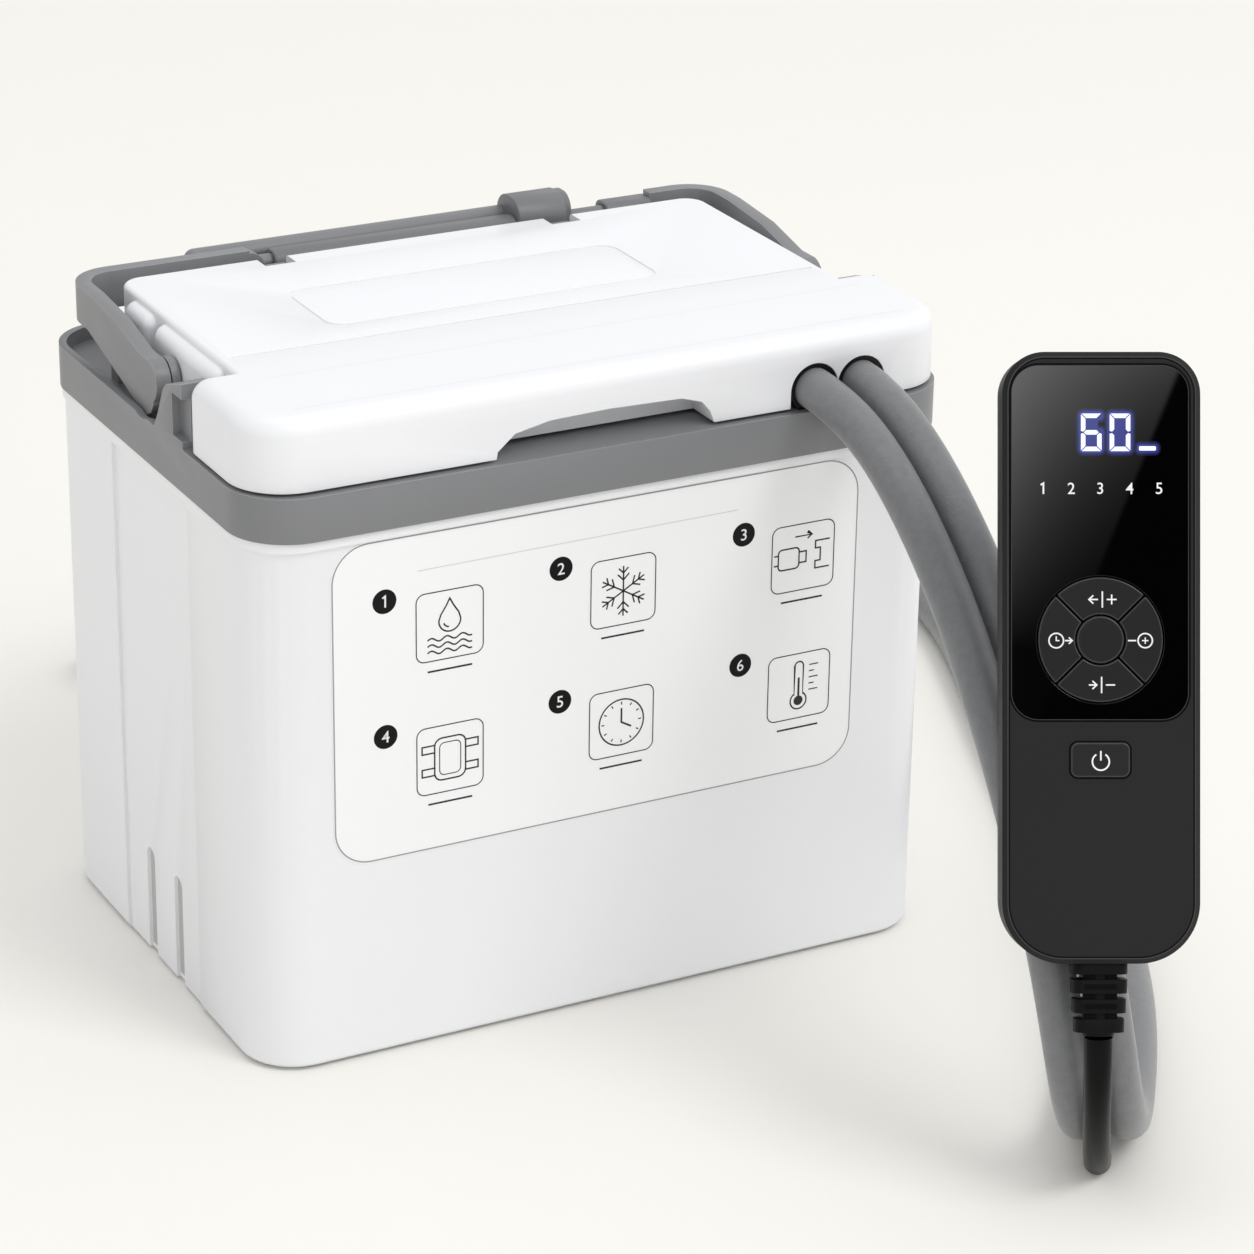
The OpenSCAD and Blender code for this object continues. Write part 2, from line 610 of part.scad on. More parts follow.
module hand_outline(e) {
  difference() {
    union() {
      square([hand_w - 42 + 2 * e, hand_l + 2 * e], center = true);
      square([hand_w + 2 * e, hand_l - 42 + 2 * e], center = true);
      for (x = [-1, 1]) {
        translate([x * (hand_w / 2 - 14.5), hand_l / 2 - 14.5]) circle(14.5 + e);
        translate([x * (hand_w / 2 - 21), -hand_l / 2 + 21]) circle(21 + e);
      }
      translate([0, hand_l / 2 - 14.5]) square([hand_w - 29 + 2 * e, 29 + 2 * e], center = true);
      translate([0, hand_l / 2 - 21]) square([hand_w + 2 * e, 13], center = true);
    }
  }
}

module glass_outline(e) {
  translate([-0.6, 39.5]) rrect(61.4 + 2 * e, 122.2 + 2 * e, 9.6 + e);
}

module power_outline(e) { translate([-0.5, -35]) rrect(20.4 + 2 * e, 12 + 2 * e, 2.6 + e); }

module hand_front() {
  color(black) in_hand() difference() {
    translate([0, 0, 1]) linear_extrude(hand_t / 2 - 1) hand_outline(0);
    translate([0, 0, 0]) linear_extrude(hand_t / 2 - 3.5) hand_outline(-2.4);
    translate([0, 0, hand_t / 2 - 1.5]) linear_extrude(5) glass_outline(0);
    translate([pad_c[0], pad_c[1], 0]) cylinder(r = 21.9, h = 20);
    translate([0, 0, 0]) linear_extrude(20) power_outline(0.35);
    translate([-22, 68, 0]) cube([44, 26, 20]);
    translate([0, -hand_l / 2 + 5, 0]) rotate([90, 0, 0]) cylinder(r = 5.6, h = 10);
  }
}

module hand_back() {
  color(black) in_hand() difference() {
    union() {
      difference() {
        translate([0, 0, -hand_t / 2]) linear_extrude(hand_t / 2 + 1) hand_outline(0);
        translate([0, 0, -hand_t / 2 + 2.5]) linear_extrude(hand_t) hand_outline(-2.4);
      }
      // posts under the circuit board
      for (x = [-24, 24], y = [-72, 85]) translate([x, y, -hand_t / 2 + 2]) cylinder(r = 3.2, h = hand_t / 2 - 3);
    }
    for (x = [-24, 24], y = [-72, 85]) translate([x, y, -hand_t / 2 - 1]) cylinder(r = 1.5, h = 8);
    translate([0, -hand_l / 2 + 5, 0]) rotate([90, 0, 0]) cylinder(r = 5.6, h = 10);
  }
}

module hand_glass() {
  color([0.01, 0.01, 0.012]) in_hand() difference() {
    translate([0, 0, hand_t / 2 - 1.5]) linear_extrude(1.4) glass_outline(-0.2);
    translate([pad_c[0], pad_c[1], 0]) cylinder(r = 21.9, h = 20);
  }
}

module hand_display() {
  color([0.5, 0.6, 1]) in_hand() translate([-21.5, 68.5, 3]) cube([43, 25, hand_t / 2 - 4.6]);
}

module hand_board() {
  color([0.05, 0.3, 0.12]) in_hand() translate([-29, -78, -1]) cube([58, 170, 1.6]);
}

module key_membrane() {
  color([0.6, 0.6, 0.6]) in_hand() union() {
    translate([pad_c[0], pad_c[1], 0.7]) cylinder(r = 24, h = 1.2);
    translate([-0.5 - 14, -35 - 10, 0.7]) cube([28, 20, 1.2]);
  }
}

module hand_screws() {
  color([0.4, 0.4, 0.42]) in_hand() for (x = [-24, 24], y = [-72, 85])
    translate([x, y, -hand_t / 2 + 0.3]) cylinder(r = 1.5, h = 6);
}

// one quarter of the round key pad, pointing along angle a
module key_quarter(a) {
  color([0.12, 0.12, 0.13]) in_hand() translate([pad_c[0], pad_c[1], 2.7]) rotate([0, 0, a])
    linear_extrude(hand_t / 2 - 2.4) difference() {
      circle(21.4);
      circle(8.7);
      polygon([[0.45, 0], [30.45, 30], [30.45, 60], [-60, 60], [-60, -60], [30.45, -60], [30.45, -30]]);
    }
}
module key_up() { key_quarter(90); }
module key_down() { key_quarter(-90); }
module key_left() { key_quarter(180); }
module key_right() { key_quarter(0); }
module key_centre() {
  color([0.1, 0.1, 0.11]) in_hand() translate([pad_c[0], pad_c[1], 2.7]) cylinder(r = 8.2, h = hand_t / 2 - 2.6);
}
module key_power() {
  color([0.16, 0.16, 0.17]) in_hand() translate([0, 0, 2.7]) linear_extrude(hand_t / 2 - 2) power_outline(0);
}

// clip on the back that holds the hand control on the two hoses
module hand_clip() {
  color(black) in_hand() difference() {
    translate([-30.5, -66, -33.5]) cube([35.5, 12, 23.5]);
    translate([-25.3, -60, -23.9]) rotate([90 - 8, 0, 13]) cylinder(r = 8.5, h = 40, center = true);
    translate([-8.3, -60, -23.9]) rotate([90 - 8, 0, 13]) cylinder(r = 8.5, h = 40, center = true);
    translate([-33, -70, -40]) cube([29, 30, 16]);
  }
}

module cable_relief() {
  color(black) in_hand() translate([0, -hand_l / 2, 0]) rotate([90, 0, 0]) {
    cylinder(r = 5.4, h = 25.4);
    translate([0, 0, -4]) cylinder(r = 5.4, h = 6);
    for (k = [[0.1, 3.8, 19.4, 13.4], [5.7, 4.8, 19.2, 13.2], [12.5, 4.8, 18.4, 12.8], [19.3, 4.7, 17.2, 12.2]])
      translate([0, 0, k[0]]) linear_extrude(k[1]) rrect(k[2], k[3], 4);
  }
}

module hand_cable() { color(black) tube_along(KC, cable_d, 12, [1, 0, 0]); }

// saddle that leads the cable's wires into the hoses' sleeve
module cable_joiner() {
  color(black) translate([97, -295.2, 5.2]) rotate([0, 0, -36.5]) rotate([-90, 0, 0]) union() {
    cylinder(r = 4.9, h = 4);
    translate([0, 0.4, 4]) linear_extrude(4) rrect(9, 7.6, 2);
  }
}

outer_body();
foam_core();
inner_liner();
rim_band();
front_label();
feet();
pump_housing();
pump_motor();
pump_strainer();
pump_impeller();
heater_plate();
temp_probe();
hose_port();
supply_tube();
return_tube();
dc_socket();
lid_shell();
lid_tray();
lid_foam();
lid_seal();
hinge_pins();
handle_bail();
handle_grip();
handle_rail();
handle_clasp();
handle_sleeve();
pivot_pins();
hose_left();
hose_left_coil();
hose_left_tail();
hose_right();
hose_right_coil();
hose_right_tail();
coil_tie();
hose_couplings();
hand_front();
hand_back();
hand_glass();
hand_display();
hand_board();
hand_screws();
key_membrane();
key_up();
key_down();
key_left();
key_right();
key_centre();
key_power();
hand_clip();
cable_relief();
hand_cable();
cable_joiner();
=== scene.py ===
import json
import math

import bmesh
import bpy
from mathutils import Matrix, Vector


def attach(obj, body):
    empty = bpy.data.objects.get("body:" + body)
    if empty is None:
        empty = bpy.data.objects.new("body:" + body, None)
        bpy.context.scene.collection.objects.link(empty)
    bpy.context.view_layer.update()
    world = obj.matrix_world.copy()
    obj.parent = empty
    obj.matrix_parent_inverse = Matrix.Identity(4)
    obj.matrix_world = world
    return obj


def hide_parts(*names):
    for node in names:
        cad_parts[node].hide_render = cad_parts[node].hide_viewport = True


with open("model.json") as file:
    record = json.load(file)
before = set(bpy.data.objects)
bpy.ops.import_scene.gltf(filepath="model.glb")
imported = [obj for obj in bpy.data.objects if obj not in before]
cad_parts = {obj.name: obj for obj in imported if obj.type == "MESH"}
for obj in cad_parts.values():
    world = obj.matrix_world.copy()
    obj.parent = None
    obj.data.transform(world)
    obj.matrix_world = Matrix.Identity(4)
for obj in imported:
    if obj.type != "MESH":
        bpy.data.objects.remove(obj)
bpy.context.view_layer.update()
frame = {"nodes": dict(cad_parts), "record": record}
MM = 0.001
COL = bpy.context.scene.collection
bpy.context.scene.view_settings.view_transform = "Standard"


# ---------------------------------------------------------------- camera
def make_camera():
    cam = bpy.data.cameras.new("camera")
    ob = bpy.data.objects.new("camera", cam)
    COL.objects.link(ob)
    right = Vector((0.8847543, -0.46583259, 0.01448547))
    up = Vector((0.17238481, 0.35597021, 0.91845996))
    fwd = Vector((0.43300498, 0.81011432, -0.39524863))
    m = Matrix((right, up, -fwd)).transposed().to_4x4()
    m.translation = Vector((-0.666895, -1.360352, 0.770080))
    ob.matrix_world = m
    cam.sensor_width = 36
    cam.lens = 119.80
    cam.clip_start = 0.05
    cam.clip_end = 20
    bpy.context.scene.camera = ob


make_camera()


# ---------------------------------------------------------------- cord lines, millimetres
H1 = [[83.5, -96, 238.2], [83.5, -104, 238.2], [83.5, -114, 237.4], [84, -133, 234.5], [84, -157, 225],
      [84, -182, 208], [83, -207, 188], [80, -232, 166], [77.5, -254.5, 143], [76.3, -272.5, 118],
      [75.4, -287.5, 94], [76, -298.2, 67], [80.5, -300.5, 39.5], [93.5, -288.5, 17], [113.5, -262.5, 8],
      [135.5, -232.5, 8.2], [158.5, -198, 8.1], [181, -156, 8.1], [204.5, -107, 8.1], [229, -52, 8.1],
      [252, 8, 8.1], [275, 66, 8.1], [294, 112, 8.1], [308, 156, 8.1], [313, 197, 8.1], [302, 238, 8.1],
      [272, 265, 8.1], [232, 274.5, 8.1], [180, 275, 8.1], [120, 275, 8.1]]
H2 = [[103.5, -96, 238.2], [103.5, -104, 238.2], [103, -114, 237.4], [102, -133, 234.5], [101, -157, 225],
      [101, -182, 208], [100, -207, 188], [97, -233, 166], [92.5, -262.5, 143], [91.3, -280.5, 118],
      [90.4, -295.5, 94], [91, -306.3, 67], [95.5, -308, 39.5], [108.5, -296.2, 17], [128.5, -270.8, 8],
      [150.5, -241, 8.2], [173.5, -206.5, 8.1], [196.5, -164, 8.1], [220, -114.5, 8.1], [245, -58.5, 8.1],
      [268, 2, 8.1], [291, 59.5, 8.1], [310, 106, 8.1], [324.5, 152.5, 8.1], [330, 198, 8.1],
      [316.5, 247, 8.1], [280, 280, 8.1], [232, 292, 8.1], [180, 292, 8.1], [120, 292, 8.1]]
KC = [[76.5, -319.5, 73], [75.8, -321.3, 66], [76.8, -320.6, 54], [80.2, -316.5, 40], [85.5, -310, 26],
      [91.3, -302.5, 14], [97, -295.2, 5.4]]
COIL = (85.0, 203.0)
T1 = [[53, 275, 24.8], [25, 275.4, 26], [2, 276, 18], [-14, 276, 10.8], [-23, 276, 10.2]]
T2 = [[61, 292, 23.5], [41, 293, 17], [25, 294.3, 11], [15, 294.5, 10.2]]


def spline(points, per=5):
    """Samples of a uniform cubic spline through the control points, both ends met."""
    p = [Vector(q) for q in points]
    p = [p[0] * 2 - p[1]] + p + [p[-1] * 2 - p[-2]]
    out = []
    for i in range(1, len(p) - 2):
        a, b, c, d = p[i - 1], p[i], p[i + 1], p[i + 2]
        for k in range(per):
            t = k / per
            out.append(((1 - t) ** 3 * a + (3 * t ** 3 - 6 * t * t + 4) * b
                        + (-3 * t ** 3 + 3 * t * t + 3 * t + 1) * c + t ** 3 * d) / 6)
    out.append(p[-2])
    return out


def turn(radius, start, end):
    """Control points of one stored turn that rises from the floor layer to the second."""
    pts = []
    n = 18
    rc = radius * 6 / (4 + 2 * math.cos(2 * math.pi / n))
    for i in range(n + 1):
        deg = 90 + 360 * i / n
        f = min(1, max(0, (deg - 332) / 66))
        f = f * f * (3 - 2 * f)
        a = math.radians(deg)
        pts.append([COIL[0] + rc * math.cos(a), COIL[1] + rc * math.sin(a), start + (end - start) * f])
    return pts


def curve_piece(name, pts, d, res=10):
    cu = bpy.data.curves.new(name, "CURVE")
    cu.dimensions = "3D"
    sp = cu.splines.new("POLY")
    sp.points.add(len(pts) - 1)
    for q, p in zip(sp.points, pts):
        q.co = (p[0] * MM, p[1] * MM, p[2] * MM, 1)
    cu.bevel_depth = d / 2 * MM
    cu.bevel_resolution = res
    cu.use_fill_caps = True
    ob = bpy.data.objects.new(name, cu)
    COL.objects.link(ob)
    sp.use_smooth = True
    return ob


line1 = spline(H1 + turn(72, 8.1, 24.5) + T1, 4)
line2 = spline(H2 + turn(89, 8.1, 24.5) + T2, 4)
line3 = spline(KC, 6)


# ---------------------------------------------------------------- materials
class Nodes:
    """Small helper that builds one node material."""

    def __init__(self, name, rgb, rough, metallic=0.0, spec=0.5):
        self.mat = bpy.data.materials.new(name)
        self.mat.use_nodes = True
        self.t = self.mat.node_tree
        self.b = self.t.nodes["Principled BSDF"]
        self.b.inputs["Base Color"].default_value = (*rgb, 1)
        self.b.inputs["Roughness"].default_value = rough
        self.b.inputs["Metallic"].default_value = metallic
        self.b.inputs["Specular IOR Level"].default_value = spec
        self.rgb = rgb
        self.rough = rough
        self.co = self.t.nodes.new("ShaderNodeTexCoord")

    def new(self, kind, **kw):
        n = self.t.nodes.new(kind)
        for k, v in kw.items():
            if k in n.inputs:
                n.inputs[k].default_value = v
            else:
                setattr(n, k, v)
        return n

    def link(self, a, b):
        self.t.links.new(a, b)

    def noise(self, scale, detail=3, rough=0.5, stretch=None):
        n = self.new("ShaderNodeTexNoise", Scale=scale, Detail=detail, Roughness=rough)
        if stretch:
            mp = self.new("ShaderNodeMapping")
            mp.inputs["Scale"].default_value = stretch
            self.link(self.co.outputs["Object"], mp.inputs["Vector"])
            self.link(mp.outputs["Vector"], n.inputs["Vector"])
        else:
            self.link(self.co.outputs["Object"], n.inputs["Vector"])
        return n.outputs["Fac"]

    def ramp(self, fac, a, b, lo=0.3, hi=0.7):
        r = self.new("ShaderNodeValToRGB")
        r.color_ramp.elements[0].position = lo
        r.color_ramp.elements[1].position = hi
        r.color_ramp.elements[0].color = (*a, 1) if len(a) == 3 else a
        r.color_ramp.elements[1].color = (*b, 1) if len(b) == 3 else b
        self.link(fac, r.inputs["Fac"])
        return r.outputs["Color"]

    def vary(self, scale=6, amount=0.03, detail=2):
        """Slow drift of the base colour."""
        a = [c * (1 - amount) for c in self.rgb]
        b = [min(1, c * (1 + amount)) for c in self.rgb]
        self.link(self.ramp(self.noise(scale, detail), a, b), self.b.inputs["Base Color"])

    def vary_rough(self, scale=30, amount=0.06):
        m = self.new("ShaderNodeMapRange")
        m.inputs["To Min"].default_value = max(0.02, self.rough - amount)
        m.inputs["To Max"].default_value = min(1, self.rough + amount)
        self.link(self.noise(scale, 4), m.inputs["Value"])
        self.link(m.outputs["Result"], self.b.inputs["Roughness"])

    def bump(self, scale, strength, dist=0.0002, detail=3, fac=None):
        bp = self.new("ShaderNodeBump", Strength=strength, Distance=dist)
        self.link(fac if fac is not None else self.noise(scale, detail), bp.inputs["Height"])
        self.link(bp.outputs["Normal"], self.b.inputs["Normal"])
        return bp


def plastic(name, rgb, rough, spec=0.5, grain=900, strength=0.12, amount=0.02, dist=0.0002):
    n = Nodes(name, rgb, rough, spec=spec)
    n.vary(7, amount)
    n.vary_rough(40, 0.05)
    n.bump(grain, strength, dist)
    return n.mat


M = {}
M["white"] = plastic("white_satin", (0.822, 0.830, 0.858), 0.34, 0.45, 1400, 0.06, 0.008)
M["liner"] = plastic("liner_white", (0.72, 0.73, 0.74), 0.25, 0.5, 500, 0.03, 0.01)
M["grey"] = plastic("rim_grey", (0.205, 0.209, 0.219), 0.40, 0.42, 1100, 0.14, 0.03)
# lighter grey for the bevel faces of rim and bail: a painted highlight along their edges
M["grey_bevel_highlight"] = plastic("rim_grey_bevel_highlight", (0.430, 0.437, 0.452), 0.34, 0.6, 1100, 0.08, 0.03)
M["black"] = plastic("black_plastic", (0.005, 0.005, 0.0056), 0.42, 0.18, 1200, 0.18, 0.05)
M["rubber"] = plastic("black_rubber", (0.0040, 0.0040, 0.0044), 0.45, 0.10, 900, 0.2, 0.06)
M["cable"] = plastic("cable_black", (0.0010, 0.0010, 0.0012), 0.24, 0.12, 500, 0.04, 0.05)
M["charcoal"] = plastic("hand_charcoal", (0.0128, 0.0132, 0.0138), 0.50, 0.17, 2600, 0.20, 0.05, 0.00012)
# darker copy of the case charcoal for the back shell and its sides: painted shade
M["charcoal_side_shaded"] = plastic("hand_side_shaded", (0.0100, 0.0103, 0.0108), 0.44, 0.14, 2600, 0.16, 0.05, 0.00012)
M["key"] = plastic("key_gloss", (0.0105, 0.0108, 0.0112), 0.34, 0.16, 900, 0.04, 0.03)
# lighter key colour for the bevel faces: a painted highlight along the key edges
M["key_bevel_highlight"] = plastic("key_bevel_highlight", (0.034, 0.035, 0.037), 0.28, 0.35, 900, 0.04, 0.03)
M["foam_in"] = plastic("foam_core", (0.78, 0.74, 0.62), 0.9, 0.2, 500, 0.5, 0.05)
M["tube"] = plastic("tube_pale", (0.55, 0.6, 0.64), 0.18, 0.5, 200, 0.03, 0.03)
M["pcb"] = plastic("board_green", (0.02, 0.11, 0.05), 0.4, 0.5, 900, 0.2, 0.1)
M["impeller"] = plastic("impeller_white", (0.62, 0.62, 0.58), 0.4, 0.5, 900, 0.05, 0.02)
M["ink_black"] = plastic("ink_black", (0.004, 0.004, 0.0045), 0.45, 0.15, 1500, 0.04, 0.04)
M["ink_grey"] = plastic("ink_grey", (0.30, 0.30, 0.305), 0.5, 0.3, 1500, 0.04, 0.04)
M["ink_line"] = plastic("ink_line", (0.030, 0.030, 0.032), 0.5, 0.2, 1500, 0.04, 0.04)
M["ink_pale"] = plastic("ink_pale", (0.66, 0.66, 0.67), 0.5, 0.3, 1500, 0.04, 0.03)
M["ink_white"] = plastic("ink_white", (0.80, 0.80, 0.80), 0.5, 0.3, 1500, 0.03, 0.02)


def film():
    """Smooth printed film, even in colour and gloss."""
    n = Nodes("label_film", (0.872, 0.875, 0.888), 0.30, spec=0.40)
    n.vary(9, 0.0015)
    n.bump(1500, 0.012, 0.0001)
    return n.mat


def steel():
    n = Nodes("brushed_steel", (0.52, 0.52, 0.53), 0.32, 1.0)
    n.vary(9, 0.05)
    n.bump(300, 0.2, 0.0001, fac=n.noise(500, 2, stretch=(1, 1, 0.03)))
    return n.mat


def grip_rubber_shaded_below():
    """Grip covering, with painted shade: darker on its underside, where the lower half of the bar falls in shade."""
    n = Nodes("grip_grey", (0.110, 0.113, 0.119), 0.42, spec=0.4)
    sep = n.new("ShaderNodeSeparateXYZ")
    n.link(n.co.outputs["Object"], sep.inputs[0])
    # painted shade: the base colour runs from dark at the bottom of the grip to lighter at its top
    m = n.new("ShaderNodeMapRange")
    m.inputs["From Min"].default_value = 0.2470
    m.inputs["From Max"].default_value = 0.2545
    n.link(sep.outputs["Z"], m.inputs["Value"])
    n.link(n.ramp(m.outputs["Result"], (0.040, 0.041, 0.044), (0.165, 0.169, 0.177), 0.25, 0.8),
           n.b.inputs["Base Color"])
    n.vary_rough(40, 0.05)
    n.bump(700, 0.2, 0.0002)
    return n.mat


def sleeve_foam():
    """Closed-cell foam sleeve of the hoses: soft, slightly mottled, with fine pores."""
    n = Nodes("sleeve_foam", (0.158, 0.162, 0.171), 0.40, spec=0.55)
    a, b = (0.146, 0.150, 0.159), (0.170, 0.174, 0.183)
    n.link(n.ramp(n.noise(260, 6, 0.65), a, b, 0.35, 0.65), n.b.inputs["Base Color"])
    n.vary_rough(120, 0.08)
    v = n.new("ShaderNodeTexVoronoi", Scale=1500.0)
    n.link(n.co.outputs["Object"], v.inputs["Vector"])
    mix = n.new("ShaderNodeMath", operation="ADD")
    n.link(v.outputs["Distance"], mix.inputs[0])
    n.link(n.noise(420, 5, 0.6), mix.inputs[1])
    n.bump(1, 0.38, 0.00022, fac=mix.outputs[0])
    n.b.inputs["Sheen Weight"].default_value = 0.25
    n.b.inputs["Sheen Roughness"].default_value = 0.5
    return n.mat


def panel():
    """Flat glossy window: near-black, very smooth, with a trace of uneven polish."""
    n = Nodes("panel_gloss", (0.0009, 0.0009, 0.0010), 0.012, spec=0.5)
    n.vary(30, 0.1)
    m = n.new("ShaderNodeMapRange")
    m.inputs["To Min"].default_value = 0.008
    m.inputs["To Max"].default_value = 0.016
    n.link(n.noise(60, 4), m.inputs["Value"])
    n.link(m.outputs["Result"], n.b.inputs["Roughness"])
    return n.mat


def lit(name, rgb, power, rough=0.4):
    n = Nodes(name, tuple(0.35 * c for c in rgb), rough)
    n.vary(200, 0.04)
    n.b.inputs["Emission Color"].default_value = (*rgb, 1)
    n.b.inputs["Emission Strength"].default_value = power
    return n.mat


M["label"] = film()
M["grip"] = grip_rubber_shaded_below()
# lighter charcoal for thin lines: a painted highlight along the case chamfer and the window edge
M["case_highlight_line"] = plastic("case_highlight_line", (0.042, 0.043, 0.046), 0.35, 0.3, 900, 0.04, 0.03)
# grey for the side slot floors: painted shade in the recesses
M["slot"] = plastic("slot_shade", (0.47, 0.47, 0.455), 0.5, 0.3, 900, 0.04, 0.03)
# slightly darker white for the lid step lines: painted shade along the steps
M["lid_line"] = plastic("lid_step", (0.765, 0.770, 0.790), 0.36, 0.45, 1400, 0.04, 0.01)
# near-black for the dark joints of the case, and also painted shade inside the relief's slots and notches
M["case_gap_and_slot_shade"] = plastic("case_gap_and_slot_shade", (0.0012, 0.0012, 0.0014), 0.6, 0.08, 900, 0.04, 0.03)
M["steel"] = steel()
M["glass"] = panel()
M["hose"] = sleeve_foam()
M["segment"] = lit("lit_segment", (0.80, 0.86, 1.0), 0.92)
M["legend"] = lit("lit_legend", (0.80, 0.81, 0.83), 0.72)
M["halo_1"] = lit("halo_near", (0.034, 0.044, 0.22), 0.80, 0.02)
M["halo_2"] = lit("halo_mid", (0.020, 0.026, 0.130), 0.60, 0.02)
M["halo_3"] = lit("halo_far", (0.012, 0.015, 0.060), 0.50, 0.02)


# ---------------------------------------------------------------- mesh helpers
def put(ob, body, mat, slot):
    ob.data.materials.clear()
    ob.data.materials.append(mat)
    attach(ob, body)
    return ob


def shade(ob, angle=32):
    me = ob.data
    for p in me.polygons:
        p.use_smooth = True
    bm = bmesh.new()
    bm.from_mesh(me)
    lim = math.radians(angle)
    for e in bm.edges:
        e.smooth = len(e.link_faces) == 2 and e.calc_face_angle(0) < lim
    bm.to_mesh(me)
    bm.free()


def soften(node, width, segments=3, angle=30, name=None):
    """A finely rounded copy of a CAD node, standing for it."""
    src = frame["nodes"][node]
    me = src.data.copy()
    ob = bpy.data.objects.new((name or node) + "_soft", me)
    COL.objects.link(ob)
    bm = bmesh.new()
    bm.from_mesh(me)
    bmesh.ops.remove_doubles(bm, verts=bm.verts, dist=2e-6)
    bmesh.ops.dissolve_limit(bm, angle_limit=math.radians(0.5), verts=bm.verts, edges=bm.edges,
                             delimit=set())
    bm.to_mesh(me)
    bm.free()
    for p in me.polygons:
        p.use_smooth = True
    if width:
        bv = ob.modifiers.new("round", "BEVEL")
        bv.width = width * MM
        bv.segments = segments
        bv.limit_method = "ANGLE"
        bv.angle_limit = math.radians(angle)
        bv.use_clamp_overlap = True
        bv.harden_normals = True
        bv.miter_outer = "MITER_ARC"
    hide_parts(node)
    return ob


body_of = {}
for b, ns in frame["record"]["behaviour"]["bodies"].items():
    for n_ in ns:
        body_of[n_] = b
slot_of = {s["node"]: s["material_slot"] for s in frame["record"]["subparts"]}

LOOK = {"body_white": "white", "liner_white": "liner", "foam": "foam_in", "rim_grey": "grey",
        "label_film": "label", "black_rubber": "rubber", "grip_grey": "grip", "sleeve_foam_grey": "hose",
        "black_plastic": "black", "charcoal_plastic": "charcoal", "key_gloss": "key",
        "panel_glass": "glass", "steel": "steel", "board_green": "pcb", "tube_clear": "tube",
        "impeller_white": "impeller"}

for name, ob in frame["nodes"].items():
    ob.data.materials.clear()
    ob.data.materials.append(M[LOOK[slot_of[name]]])


def soft_piece(node, width, mat=None, segments=3, angle=30, edge=None, flat=False):
    ob = soften(node, width, segments, angle)
    ob.data.materials.clear()
    ob.data.materials.append(M[mat] if mat else M[LOOK[slot_of[node]]])
    # edge: a lighter second material on the bevel faces, a painted highlight along the rounded edges
    if edge:
        ob.data.materials.append(M[edge])
        ob.modifiers["round"].material = 1
    if flat:
        ob.modifiers["round"].harden_normals = False
        wn = ob.modifiers.new("flat", "WEIGHTED_NORMAL")
        wn.weight = 90
        wn.keep_sharp = False
    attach(ob, body_of[node])
    return ob


# ---------------------------------------------------------------- hoses and cable
hose1 = curve_piece("hose_left_line", line1, 16)
hose2 = curve_piece("hose_right_line", line2, 16)
cable = curve_piece("hand_cable_line", line3, 10, 12)
for ob, mat, sl in ((hose1, "hose", "sleeve_foam_grey"), (hose2, "hose", "sleeve_foam_grey"),
                    (cable, "cable", "black_rubber")):
    ob.data.materials.append(M[mat])
    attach(ob, "cooler")
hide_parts("hose_left", "hose_left_coil", "hose_left_tail")
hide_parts("hose_right", "hose_right_coil", "hose_right_tail")
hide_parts("hand_cable")

tie = soft_piece("coil_tie", 0.4)
joiner = soft_piece("cable_joiner", 0.6)

# ---------------------------------------------------------------- box, lid, handle
for node, w in (("outer_body", 0.5), ("rim_band", 1.0), ("lid_shell", 0.7), ("handle_bail", 1.4),
                ("handle_grip", 0.8), ("handle_rail", 0.6), ("handle_clasp", 1.2), ("handle_sleeve", 0.8),
                ("hose_port", 0.6), ("feet", 0.4), ("pivot_pins", 0.4), ("hand_clip", 0.8),
                ("cable_relief", 0.9)):
    # rim and bail carry the lighter grey on their bevel faces as a painted highlight
    soft_piece(node, w, edge="grey_bevel_highlight" if node in ("rim_band", "handle_bail") else None)

# ---------------------------------------------------------------- hand control
HAND = (Matrix.Translation(Vector((99, -273, 193.4)) * MM) @ Matrix.Rotation(math.radians(-28.12), 4, "Z")
        @ Matrix.Rotation(math.radians(66.72), 4, "X") @ Matrix.Rotation(math.radians(0.9), 4, "Z"))
# back shell in the darker charcoal copy, a painted shade on the sides
soft_piece("hand_back", 1.8, "charcoal_side_shaded")
# keys carry the lighter colour on their bevel faces as a painted highlight
for node, w in (("key_up", 0.5), ("key_down", 0.5), ("key_left", 0.5), ("key_right", 0.5),
                ("key_centre", 0.7), ("key_power", 0.6)):
    soft_piece(node, w, edge="key_bevel_highlight", flat=True)
window = soft_piece("hand_glass", 0.22, segments=2)
for p_ in window.data.polygons:
    p_.use_smooth = False
case = soft_piece("hand_front", 0.4, segments=2, angle=25, flat=True)


def outer_front_edges(ob, lo, hi):
    """Weight 1 on the long front edge of the case, 0 elsewhere."""
    me = ob.data
    back = HAND.inverted()
    at = me.attributes.new("bevel_weight_edge", "FLOAT", "EDGE")
    for e in me.edges:
        a, b = (back @ me.vertices[i].co * 1000 for i in e.vertices)
        m = (a + b) / 2
        dx, dy = abs(m.x), abs(m.y)
        r = 14.5 if m.y > 0 else 21.0
        qx, qy = dx - (34 - r), dy - (105 - r)
        d = math.hypot(max(qx, 0), max(qy, 0)) + min(max(qx, qy), 0) - r
        on = lo < a.z < hi and lo < b.z < hi and abs(d) < 0.35
        at.data[e.index].value = 1.0 if on else 0.0


outer_front_edges(case, 9.9, 10.1)
wide = case.modifiers.new("chamfer", "BEVEL")
wide.width = 1.7 * MM
wide.segments = 1
wide.limit_method = "WEIGHT"
wide.use_clamp_overlap = False
wide.harden_normals = False
with bpy.context.temp_override(object=case, active_object=case, selected_objects=[case]):
    bpy.ops.object.modifier_move_to_index(modifier="chamfer", index=0)


